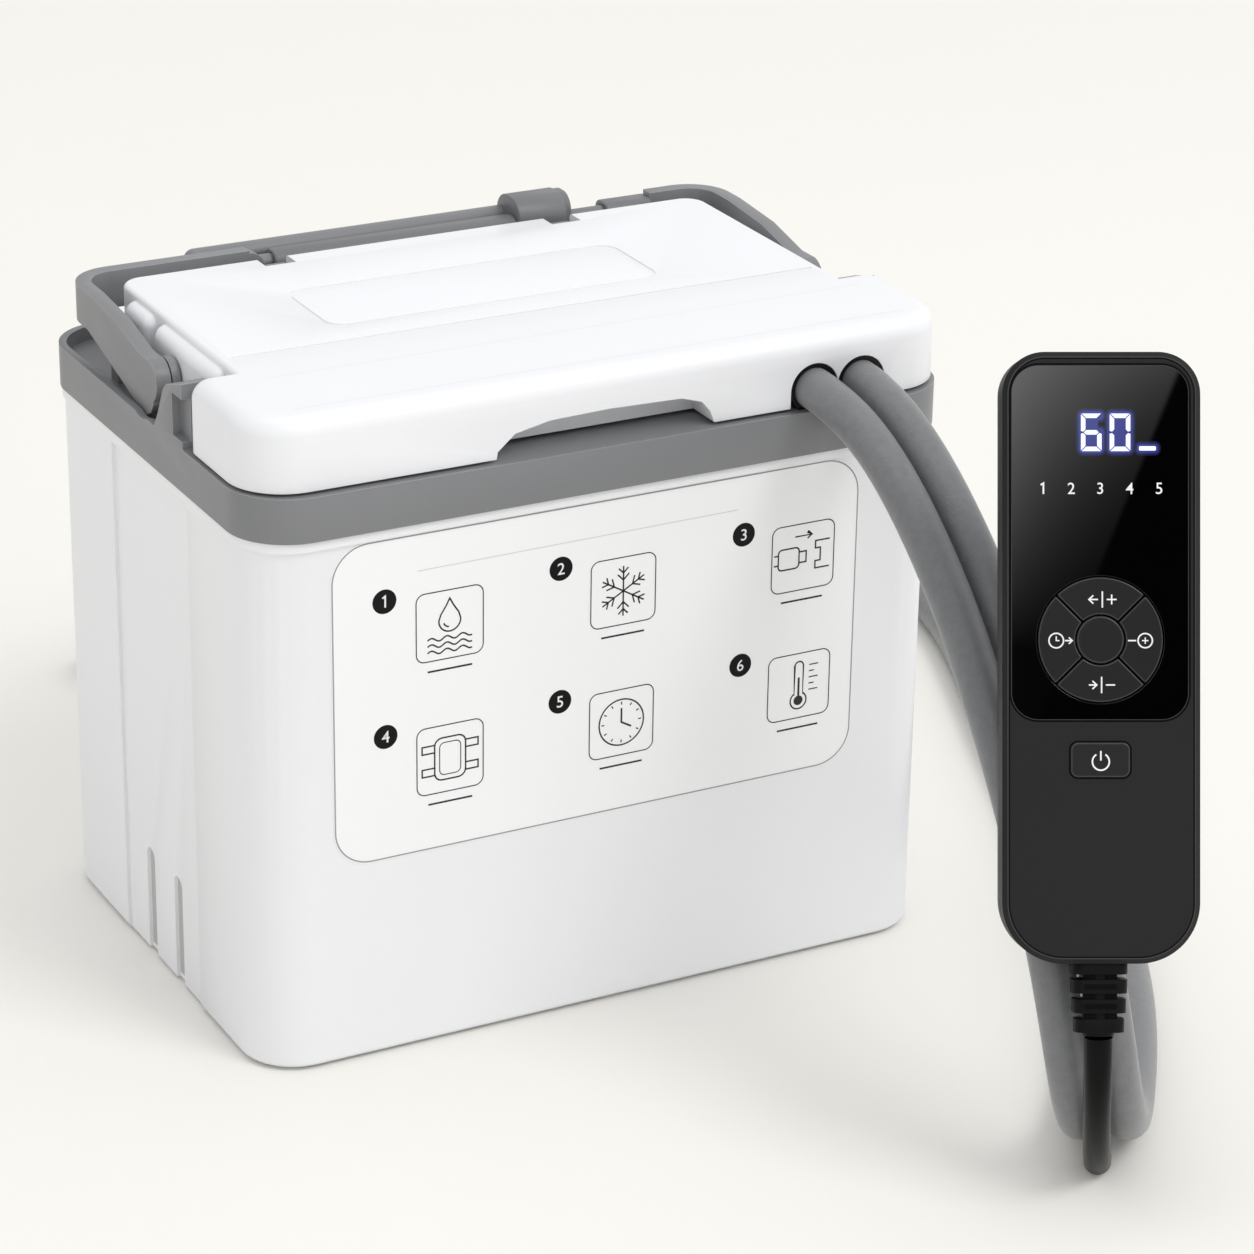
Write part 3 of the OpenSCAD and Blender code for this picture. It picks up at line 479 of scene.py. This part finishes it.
# ---------------------------------------------------------------- printed marks, painted highlight lines and painted shade
LABEL = Matrix.Translation(Vector((0, -101.8, 0)) * MM) @ Matrix.Rotation(math.radians(90), 4, "X")


def arc(c, r, a0, a1, n=24, ry=None):
    ry = r if ry is None else ry
    return [(c[0] + r * math.cos(math.radians(a0 + (a1 - a0) * i / n)),
             c[1] + ry * math.sin(math.radians(a0 + (a1 - a0) * i / n))) for i in range(n + 1)]


def rounded(c, w, h, r, n=8):
    """Closed outline of a rectangle with round corners."""
    out = []
    for sx, sy, a in ((1, 1, 0), (-1, 1, 90), (-1, -1, 180), (1, -1, 270)):
        out += arc((c[0] + sx * (w / 2 - r), c[1] + sy * (h / 2 - r)), r, a, a + 90, n)
    return out


class Ink:
    """Flat marks on one plane, in millimetres of that plane."""

    def __init__(self, plane, lift):
        self.bm = bmesh.new()
        self.plane = plane
        self.lift = lift

    def at(self, x, y):
        return self.bm.verts.new((x, y, self.lift))

    def line(self, pts, w, closed=False):
        pts = [Vector(q) for q in pts]
        if closed and (pts[0] - pts[-1]).length < 1e-6:
            pts.pop()
        n = len(pts)
        side = []
        for i, q in enumerate(pts):
            a = pts[i - 1] if i or closed else None
            b = pts[(i + 1) % n] if i < n - 1 or closed else None
            ta = (q - a).normalized() if a is not None else (b - q).normalized()
            tb = (b - q).normalized() if b is not None else ta
            t = ta + tb
            t = t.normalized() if t.length > 1e-6 else ta
            k = 1 / max(0.45, math.sqrt(max(0, (1 + ta.dot(tb)) / 2)))
            d = Vector((-t.y, t.x)) * (w / 2 * k)
            side.append((self.at(*(q + d)), self.at(*(q - d))))
        for i in range(n if closed else n - 1):
            (a, b), (c, d) = side[i], side[(i + 1) % n]
            self.bm.faces.new((a, b, d, c))
        return self

    def fill(self, pts):
        self.bm.faces.new([self.at(*q) for q in pts])
        return self

    def disc(self, c, r, n=48):
        return self.fill(arc(c, r, 0, 360, n)[:-1])

    def ring(self, c, r, w):
        return self.line(arc(c, r, 0, 360, 40)[:-1], w, True)

    def digit(self, text, c, height, bold):
        """One digit of the plain built-in typeface, centred on c; a one is drawn with its flag."""
        if text == "1":
            x, y, h = c[0] + 0.06 * height, c[1], height / 2
            return self.line([(x - 0.24 * height, y + 0.30 * height), (x, y + h - 0.05 * height), (x, y - h)],
                             0.15 * height)
        cu = bpy.data.curves.new("digit", "FONT")
        cu.body = text
        cu.size = height * 1.4
        cu.offset = bold
        cu.resolution_u = 6
        ob = bpy.data.objects.new("digit", cu)
        COL.objects.link(ob)
        bpy.context.view_layer.update()
        me = bpy.data.meshes.new_from_object(ob.evaluated_get(bpy.context.evaluated_depsgraph_get()))
        xs = [v.co.x for v in me.vertices]
        ys = [v.co.y for v in me.vertices]
        k = height / (max(ys) - min(ys))
        for v in me.vertices:
            v.co = ((v.co.x - (max(xs) + min(xs)) / 2) * k + c[0], (v.co.y - (max(ys) + min(ys)) / 2) * k + c[1],
                    self.lift)
        self.bm.from_mesh(me)
        bpy.data.objects.remove(ob)
        bpy.data.curves.remove(cu)
        bpy.data.meshes.remove(me)
        return self

    def done(self, name, mat, body, slot):
        me = bpy.data.meshes.new(name)
        self.bm.normal_update()
        for f in self.bm.faces:
            if f.normal.z < 0:
                f.normal_flip()
        self.bm.to_mesh(me)
        self.bm.free()
        me.transform(self.plane @ Matrix.Scale(MM, 4))
        ob = bpy.data.objects.new(name, me)
        COL.objects.link(ob)
        me.materials.append(M[mat])
        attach(ob, body)
        return ob


def label_marks():
    edge = Ink(LABEL, 0.03)
    edge.line(rounded((-4.8, 145), 217.7, 126.3, 14.4, 12), 0.55, True)
    edge.done("label_edge", "ink_grey", "cooler", "label_film")
    Ink(LABEL, 0.03).line([(-80, 194), (52, 195)], 0.4).done("label_rule", "ink_pale", "cooler", "label_film")

    spots = [(-93.2, 184.5), (-22, 184.5), (54.8, 184.5), (-93.2, 131), (-22, 131), (54.8, 131)]
    discs = Ink(LABEL, 0.04)
    nums = Ink(LABEL, 0.08)
    for k, c in enumerate(spots):
        discs.disc(c, 4.75)
        nums.digit(str(k + 1), c, 4.6, 0.03)
    discs.done("label_discs", "ink_black", "cooler", "label_film")
    nums.done("label_digits", "ink_white", "cooler", "label_film")

    w = 0.62
    art = Ink(LABEL, 0.04)
    for k, (x, z) in enumerate(spots):
        cx, cz = x + 26, z - 13.5
        art.line(rounded((cx, cz), 27, 27, 3.4, 6), 0.45, True)
        art.line([(cx - 9, cz - 17.6), (cx + 9, cz - 17.6)], 0.75)

        def m(pts, width=w, closed=False):
            art.line([(cx + a, cz + b) for a, b in pts], width, closed)

        if k == 0:      # water drop over three waves
            drop = [(0, 10.2), (-1.6, 7.2), (-3.6, 4.2), (-4.4, 1.8)] + arc((0, 1.6), 4.4, 180, 360, 14) + [
                (3.6, 4.2), (1.6, 7.2)]
            m(drop, closed=True)
            m(arc((0, 1.6), 2.6, 200, 262, 6))
            for j in range(3):
                m([(-9 + i * 0.75, -5.2 - 2.5 * j + 0.75 * math.sin(i * 0.75)) for i in range(25)])
        elif k == 1:    # snow crystal
            for j in range(6):
                a = math.radians(60 * j + 30)
                u, v = Vector((math.cos(a), math.sin(a))), Vector((-math.sin(a), math.cos(a)))
                m([(0, 0), tuple(u * 10)])
                for q, h in ((4.4, 2.4), (7.2, 2.0)):
                    m([tuple(u * (q + h) + v * h), tuple(u * q), tuple(u * (q + h) - v * h)])
        elif k == 2:    # push-in coupling going into its socket
            m(rounded((-6.2, 0), 9, 8.4, 1.6, 4), closed=True)
            m([(-10.7, 2), (-12.6, 2)])
            m([(-10.7, -2), (-12.6, -2)])
            m([(-1.7, 2.2), (1.4, 2.2), (1.4, -2.2), (-1.7, -2.2)])
            m([(11.6, 5.6), (5.4, 5.6), (5.4, 2.6), (7.6, 2.6), (7.6, -2.6), (5.4, -2.6), (5.4, -5.6), (11.6, -5.6)])
            m([(-3.6, 8.6), (3.6, 8.6), (1.8, 10), (3.6, 8.6), (1.8, 7.2)])
        elif k == 3:    # flat pad with two straps
            m(rounded((0, 0), 12.6, 17, 3, 5), closed=True)
            m(rounded((0, 0), 8.6, 13, 2, 4), 0.4, True)
            for q in (-4.6, 4.6):
                m([(-6.3, q + 1.5), (-11.4, q + 1.5), (-11.4, q - 1.5), (-6.3, q - 1.5)])
                m([(6.3, q + 1.5), (11.4, q + 1.5), (11.4, q - 1.5), (6.3, q - 1.5)])
        elif k == 4:    # clock face
            m(arc((0, 0), 9.4, 0, 360, 40)[:-1], closed=True)
            for j in range(12):
                a = math.radians(30 * j)
                m([(7.2 * math.cos(a), 7.2 * math.sin(a)), (8.4 * math.cos(a), 8.4 * math.sin(a))], 0.5)
            m([(0, 5.8), (0, 0), (4.2, -2.4)], 0.75)
        else:           # thermometer with a scale
            m([(-1.9, -3.4), (-1.9, 8.2)] + arc((0, 8.2), 1.9, 180, 0, 8) + [(1.9, -3.4)]
              + arc((0, -6.2), 3.5, 56, -236, 22), closed=True)
            art.disc((cx, cz - 6.2), 2.0, 24)
            m([(0, -5), (0, 3.4)], 0.9)
            for j in range(5):
                m([(4.4, 8 - 2.6 * j), (6.6 if j % 2 else 8.4, 8 - 2.6 * j)], 0.5)
    art.done("label_pictograms", "ink_line", "cooler", "label_film")


label_marks()


def seven(ink, c, lit, w=7.1, h=12.9, t=1.55, gap=0.24):
    """One seven-segment figure: mitred bars round the outside, a six-sided one across the middle."""
    x0, x1, y0, y1 = c[0] - w / 2, c[0] + w / 2, c[1] - h / 2, c[1] + h / 2
    ym, g = c[1], gap
    bars = {
        "a": [(x0 + g, y1), (x1 - g, y1), (x1 - t - g, y1 - t), (x0 + t + g, y1 - t)],
        "d": [(x0 + t + g, y0 + t), (x1 - t - g, y0 + t), (x1 - g, y0), (x0 + g, y0)],
        "g": [(x0 + t / 2 + g, ym), (x0 + t + g, ym + t / 2), (x1 - t - g, ym + t / 2), (x1 - t / 2 - g, ym),
              (x1 - t - g, ym - t / 2), (x0 + t + g, ym - t / 2)],
        "f": [(x0, y1 - g), (x0 + t, y1 - t - g), (x0 + t, ym + t / 2 + g), (x0 + t / 2, ym + g), (x0, ym + t / 3)],
        "b": [(x1, y1 - g), (x1 - t, y1 - t - g), (x1 - t, ym + t / 2 + g), (x1 - t / 2, ym + g), (x1, ym + t / 3)],
        "e": [(x0, y0 + g), (x0 + t, y0 + t + g), (x0 + t, ym - t / 2 - g), (x0 + t / 2, ym - g), (x0, ym - t / 3)],
        "c": [(x1, y0 + g), (x1 - t, y0 + t + g), (x1 - t, ym - t / 2 - g), (x1 - t / 2, ym - g), (x1, ym - t / 3)],
    }
    for k in lit:
        ink.fill(bars[k])


def glow(ink, c, lit, grow, w=7.1, h=12.9, t=1.55):
    """Soft light round a lit figure, as strips along its bars."""
    hw, hh = w / 2 - t / 2, h / 2 - t / 2
    bars = {"a": ((-hw, hh), (hw, hh)), "g": ((-hw, 0), (hw, 0)), "d": ((-hw, -hh), (hw, -hh)),
            "f": ((-hw, 0), (-hw, hh)), "b": ((hw, 0), (hw, hh)),
            "e": ((-hw, -hh), (-hw, 0)), "c": ((hw, -hh), (hw, 0))}
    for i, k in enumerate(lit):
        p, q = (Vector(v) + Vector(c) for v in bars[k])
        r = t / 2 + grow
        u = (q - p).normalized()
        ang = math.degrees(math.atan2(u.y, u.x))
        ink.lift += 0.0002
        ink.fill(arc(q, r, ang - 90, ang + 90, 10) + arc(p, r, ang + 90, ang + 270, 10))


def hand_marks():
    figures = (((-3.6, 77.3), "acdefg"), ((6.25, 77.3), "abcdef"))
    for name, grow, lift in (("halo_3", 1.7, 9.910), ("halo_2", 1.2, 9.917), ("halo_1", 0.75, 9.924)):
        ink = Ink(HAND, lift)
        for c, lit_ in figures:
            glow(ink, c, lit_, grow)
        ink.fill(rounded((15.65, 71.8), 5.8 + 2 * grow, 1.5 + 2 * grow, 0.4 + grow, 4))
        if name == "halo_1":
            ink.lift -= 0.004
            for (x, y), lit_ in figures:
                ink.fill(rounded((x, y), 4.6, 10.4, 0.3, 3))
        ink.done("display_" + name, name, "cooler", "panel_glass")
    ink = Ink(HAND, 9.935)
    for c, lit_ in figures:
        seven(ink, c, lit_)
    ink.fill(rounded((15.65, 71.8), 5.8, 1.5, 0.4, 4))
    ink.done("display_segment", "segment", "cooler", "panel_glass")
    nums = Ink(HAND, 9.93)
    for k, x in enumerate((-20.25, -10.45, -0.55, 9.55, 19.65)):
        nums.digit(str(k + 1), (x, 58.1), 3.9, 0.012)
    nums.done("panel_digits", "legend", "cooler", "panel_glass")

    z = 10.33
    w = 0.5
    up = Ink(HAND, z)
    up.line([(0.15, 22.8), (0.15, 17.2)], w).line([(1.65, 20), (5.05, 20)], w).line([(3.35, 21.7), (3.35, 18.3)], w)
    up.line([(-1.35, 20), (-4.45, 20)], w).line([(-2.95, 21.4), (-4.45, 20), (-2.95, 18.6)], w)
    up.done("mark_up", "legend", "key_up", "key_gloss")
    dn = Ink(HAND, z)
    dn.line([(-0.1, -6.5), (-0.1, -12.1)], w).line([(1.35, -9.3), (4.55, -9.3)], w)
    dn.line([(-1.55, -9.3), (-4.45, -9.3)], w).line([(-3.25, -7.9), (-1.75, -9.3), (-3.25, -10.7)], w)
    dn.done("mark_down", "legend", "key_down", "key_gloss")
    lf = Ink(HAND, z)
    lf.ring((-15.65, 5.9), 2.5, w).line([(-15.65, 7.4), (-15.65, 5.9), (-14.55, 5.9)], 0.42)
    lf.line([(-12.65, 5.9), (-10.15, 5.9)], w).line([(-11.35, 7), (-10.15, 5.9), (-11.35, 4.8)], 0.45)
    lf.done("mark_left", "legend", "key_left", "key_gloss")
    rt = Ink(HAND, z)
    rt.ring((14.85, 5.9), 2.45, w).line([(13.75, 5.9), (15.95, 5.9)], 0.42).line([(14.85, 7), (14.85, 4.8)], 0.42)
    rt.line([(8.95, 5.9), (11.75, 5.9)], w)
    rt.done("mark_right", "legend", "key_right", "key_gloss")
    pw = Ink(HAND, 10.73)
    pw.line(arc((-0.4, -35.6), 2.9, 122, 418, 30), 0.56).line([(-0.4, -31.9), (-0.4, -35.2)], 0.56)
    pw.done("mark_power", "legend", "key_power", "key_gloss")


def case_outline(inset, n=14):
    """The hand control's outline, drawn in by an inset."""
    out = []
    for sx, sy, r, a0 in ((1, 1, 14.5, 0), (-1, 1, 14.5, 90), (-1, -1, 21.0, 180), (1, -1, 21.0, 270)):
        out += arc((sx * (34 - r), sy * (105 - r)), r - inset, a0, a0 + 90, n)
    return out


def case_marks():
    # a lighter line just inside the chamfer: painted highlight along the case edge
    Ink(HAND, 10.012).line(case_outline(1.85, 20), 0.34, True).done("case_edge_highlight", "case_highlight_line", "cooler",
                                                                    "charcoal_plastic")
    Ink(HAND, 10.018).line(case_outline(2.32, 20), 0.5, True).done("case_seam", "case_gap_and_slot_shade", "cooler",
                                                                   "charcoal_plastic")
    gap = Ink(HAND, 10.024)
    gap.line(rounded((-0.6, 39.5), 61.4 + 0.3, 122.2 + 0.3, 9.75, 12), 0.55, True)
    gap.line(rounded((-0.5, -35), 20.4 + 0.7, 12 + 0.7, 2.95, 8), 0.5, True)
    gap.done("window_gap", "case_gap_and_slot_shade", "cooler", "charcoal_plastic")
    # a lighter line just inside the window edge: painted highlight on the glass bevel
    Ink(HAND, 9.925).line(rounded((-0.6, 39.5), 61.4 - 0.75, 122.2 - 0.75, 9.25, 12), 0.2, True).done(
        "window_rim_highlight", "case_highlight_line", "cooler", "panel_glass")
    # dark fills in the relief's slots and notches: painted shade inside the openings
    slots = Ink(HAND, 6.63)
    for y in (-113.1, -119.9):
        slots.fill(rounded((0, y), 11.3, 1.8, 0.9, 6))
    slots.done("relief_slot_shade", "case_gap_and_slot_shade", "cooler", "black_rubber")
    notch = Ink(HAND, 5.46)
    for y, h in ((-109.8, 1.7), (-116.5, 1.9), (-123.3, 1.9)):
        for x in (-3.9, 3.9):
            notch.fill([(x - 1.9, y - h / 2), (x + 1.9, y - h / 2), (x + 1.9, y + h / 2), (x - 1.9, y + h / 2)])
    notch.done("relief_notch_shade", "case_gap_and_slot_shade", "cooler", "black_rubber")


SLOT_X = 140.8


def side_shade():
    """Painted shade in the two slots low on each side: a grey fill on their floors."""
    for sx in (-1, 1):
        plane = (Matrix.Translation(Vector((sx * SLOT_X, 0, 0)) * MM) @ Matrix.Rotation(math.radians(90), 4, "Z")
                 @ Matrix.Rotation(math.radians(90), 4, "X"))
        ink = Ink(plane, 0.05 * sx)
        for y in (12, -16):
            ink.fill([(y - 3.6, 3.2), (y + 3.6, 3.2), (y + 3.6, 42)] + arc((y, 42), 3.6, 0, 180, 12)[1:])
        ink.done("slot_shade_" + ("right" if sx > 0 else "left"), "slot", "cooler", "body_white")


def lid_step_shade_lines():
    """Two faint moulded steps along the lid's front part, drawn as slightly darker lines: painted shade along each
    step.
    """
    ink = Ink(Matrix.Translation(Vector((0, 0, LID_TOP)) * MM), 0.03)
    ink.line([(-122, -90.5), (128, -90.5)], 0.7)
    ink.line([(-118, -57), (128, -57)], 0.5)
    ink.done("lid_step_shade", "lid_line", "lid", "body_white")


LID_TOP = 259.0
hand_marks()
case_marks()
side_shade()
lid_step_shade_lines()


# ---------------------------------------------------------------- floor and light
def sky(t):
    """Even studio light, with a dark opening low in front whose edge runs at a slant."""
    bg = t.nodes["Background"]
    bg.inputs["Color"].default_value = (1.0, 0.999, 0.993, 1)
    co = t.nodes.new("ShaderNodeTexCoord")

    def math_node(op, a, b=None, c=None, clamp=False):
        n = t.nodes.new("ShaderNodeMath")
        n.operation = op
        n.use_clamp = clamp
        for k, v in enumerate((a, b, c)):
            if v is None:
                continue
            if isinstance(v, (int, float)):
                n.inputs[k].default_value = v
            else:
                t.links.new(v, n.inputs[k])
        return n.outputs[0]

    def along(v):
        n = t.nodes.new("ShaderNodeVectorMath")
        n.operation = "DOT_PRODUCT"
        t.links.new(co.outputs["Generated"], n.inputs[0])
        n.inputs[1].default_value = v
        return n.outputs["Value"]

    side = along((0.8847543, -0.46583259, 0.01448547))
    rise = along((0.17238481, 0.35597021, 0.91845996))
    front = along((-0.43300498, -0.81011432, 0.39524863))
    # 1 on the lit side of the slanted edge, 0 on the dark side
    edge = math_node("SUBTRACT", math_node("MULTIPLY", side, -0.931), math_node("MULTIPLY", rise, -0.365))
    lit_side = math_node("MULTIPLY_ADD", math_node("ADD", edge, 0.0997), 900.0, 0.5, True)
    low = math_node("MAXIMUM", math_node("MINIMUM", rise, 0.065), -0.005)
    fade = math_node("MULTIPLY_ADD", math_node("MULTIPLY_ADD", low, 440.0, 22.0), low, 0.13)
    rate = math_node("MULTIPLY_ADD", low, 1200.0, -105.0)
    across = math_node("EXPONENT", math_node("MULTIPLY", rate, math_node("SUBTRACT", side, 0.0937)))
    across = math_node("MINIMUM", across, 1.3)
    card = math_node("MULTIPLY", math_node("MULTIPLY", lit_side, fade), across)
    inside = math_node("MULTIPLY_ADD", front, 60.0, -57.9, True)
    drift = math_node("MULTIPLY_ADD", along((0.8, -0.45, 0.0)), 0.22, 1.0)
    even = math_node("MULTIPLY", math_node("MULTIPLY", math_node("SUBTRACT", 1.0, inside), 0.865), drift)
    t.links.new(math_node("ADD", even, math_node("MULTIPLY", card, inside)), bg.inputs["Strength"])


def stage():
    bm = bmesh.new()
    bmesh.ops.create_grid(bm, x_segments=1, y_segments=1, size=12)
    me = bpy.data.meshes.new("floor")
    bm.to_mesh(me)
    bm.free()
    floor = bpy.data.objects.new("floor", me)
    COL.objects.link(floor)
    n = Nodes("floor", (0.862, 0.851, 0.815), 0.9, spec=0.1)
    n.vary(1.5, 0.004)
    me.materials.append(n.mat)
    floor.location.z = -0.0002

    world = bpy.data.worlds.new("world")
    bpy.context.scene.world = world
    world.use_nodes = True
    sky(world.node_tree)

    def area(name, loc, target, size, power, rgb=(1, 1, 1)):
        li = bpy.data.lights.new(name, "AREA")
        li.shape = "RECTANGLE"
        li.size, li.size_y = size
        li.energy = power
        li.color = rgb
        ob = bpy.data.objects.new(name, li)
        COL.objects.link(ob)
        ob.location = loc
        ob.rotation_mode = "QUATERNION"
        ob.rotation_quaternion = (Vector(target) - Vector(loc)).to_track_quat("-Z", "Y")
        return ob

    area("key", (1.5, -3.0, 4.2), (0, 0, 0.1), (1.9, 1.9), 74, (1, 0.993, 0.984))
    area("top", (-0.5, 0.5, 4.6), (0, 0, 0), (2.2, 2.2), 16)


stage()
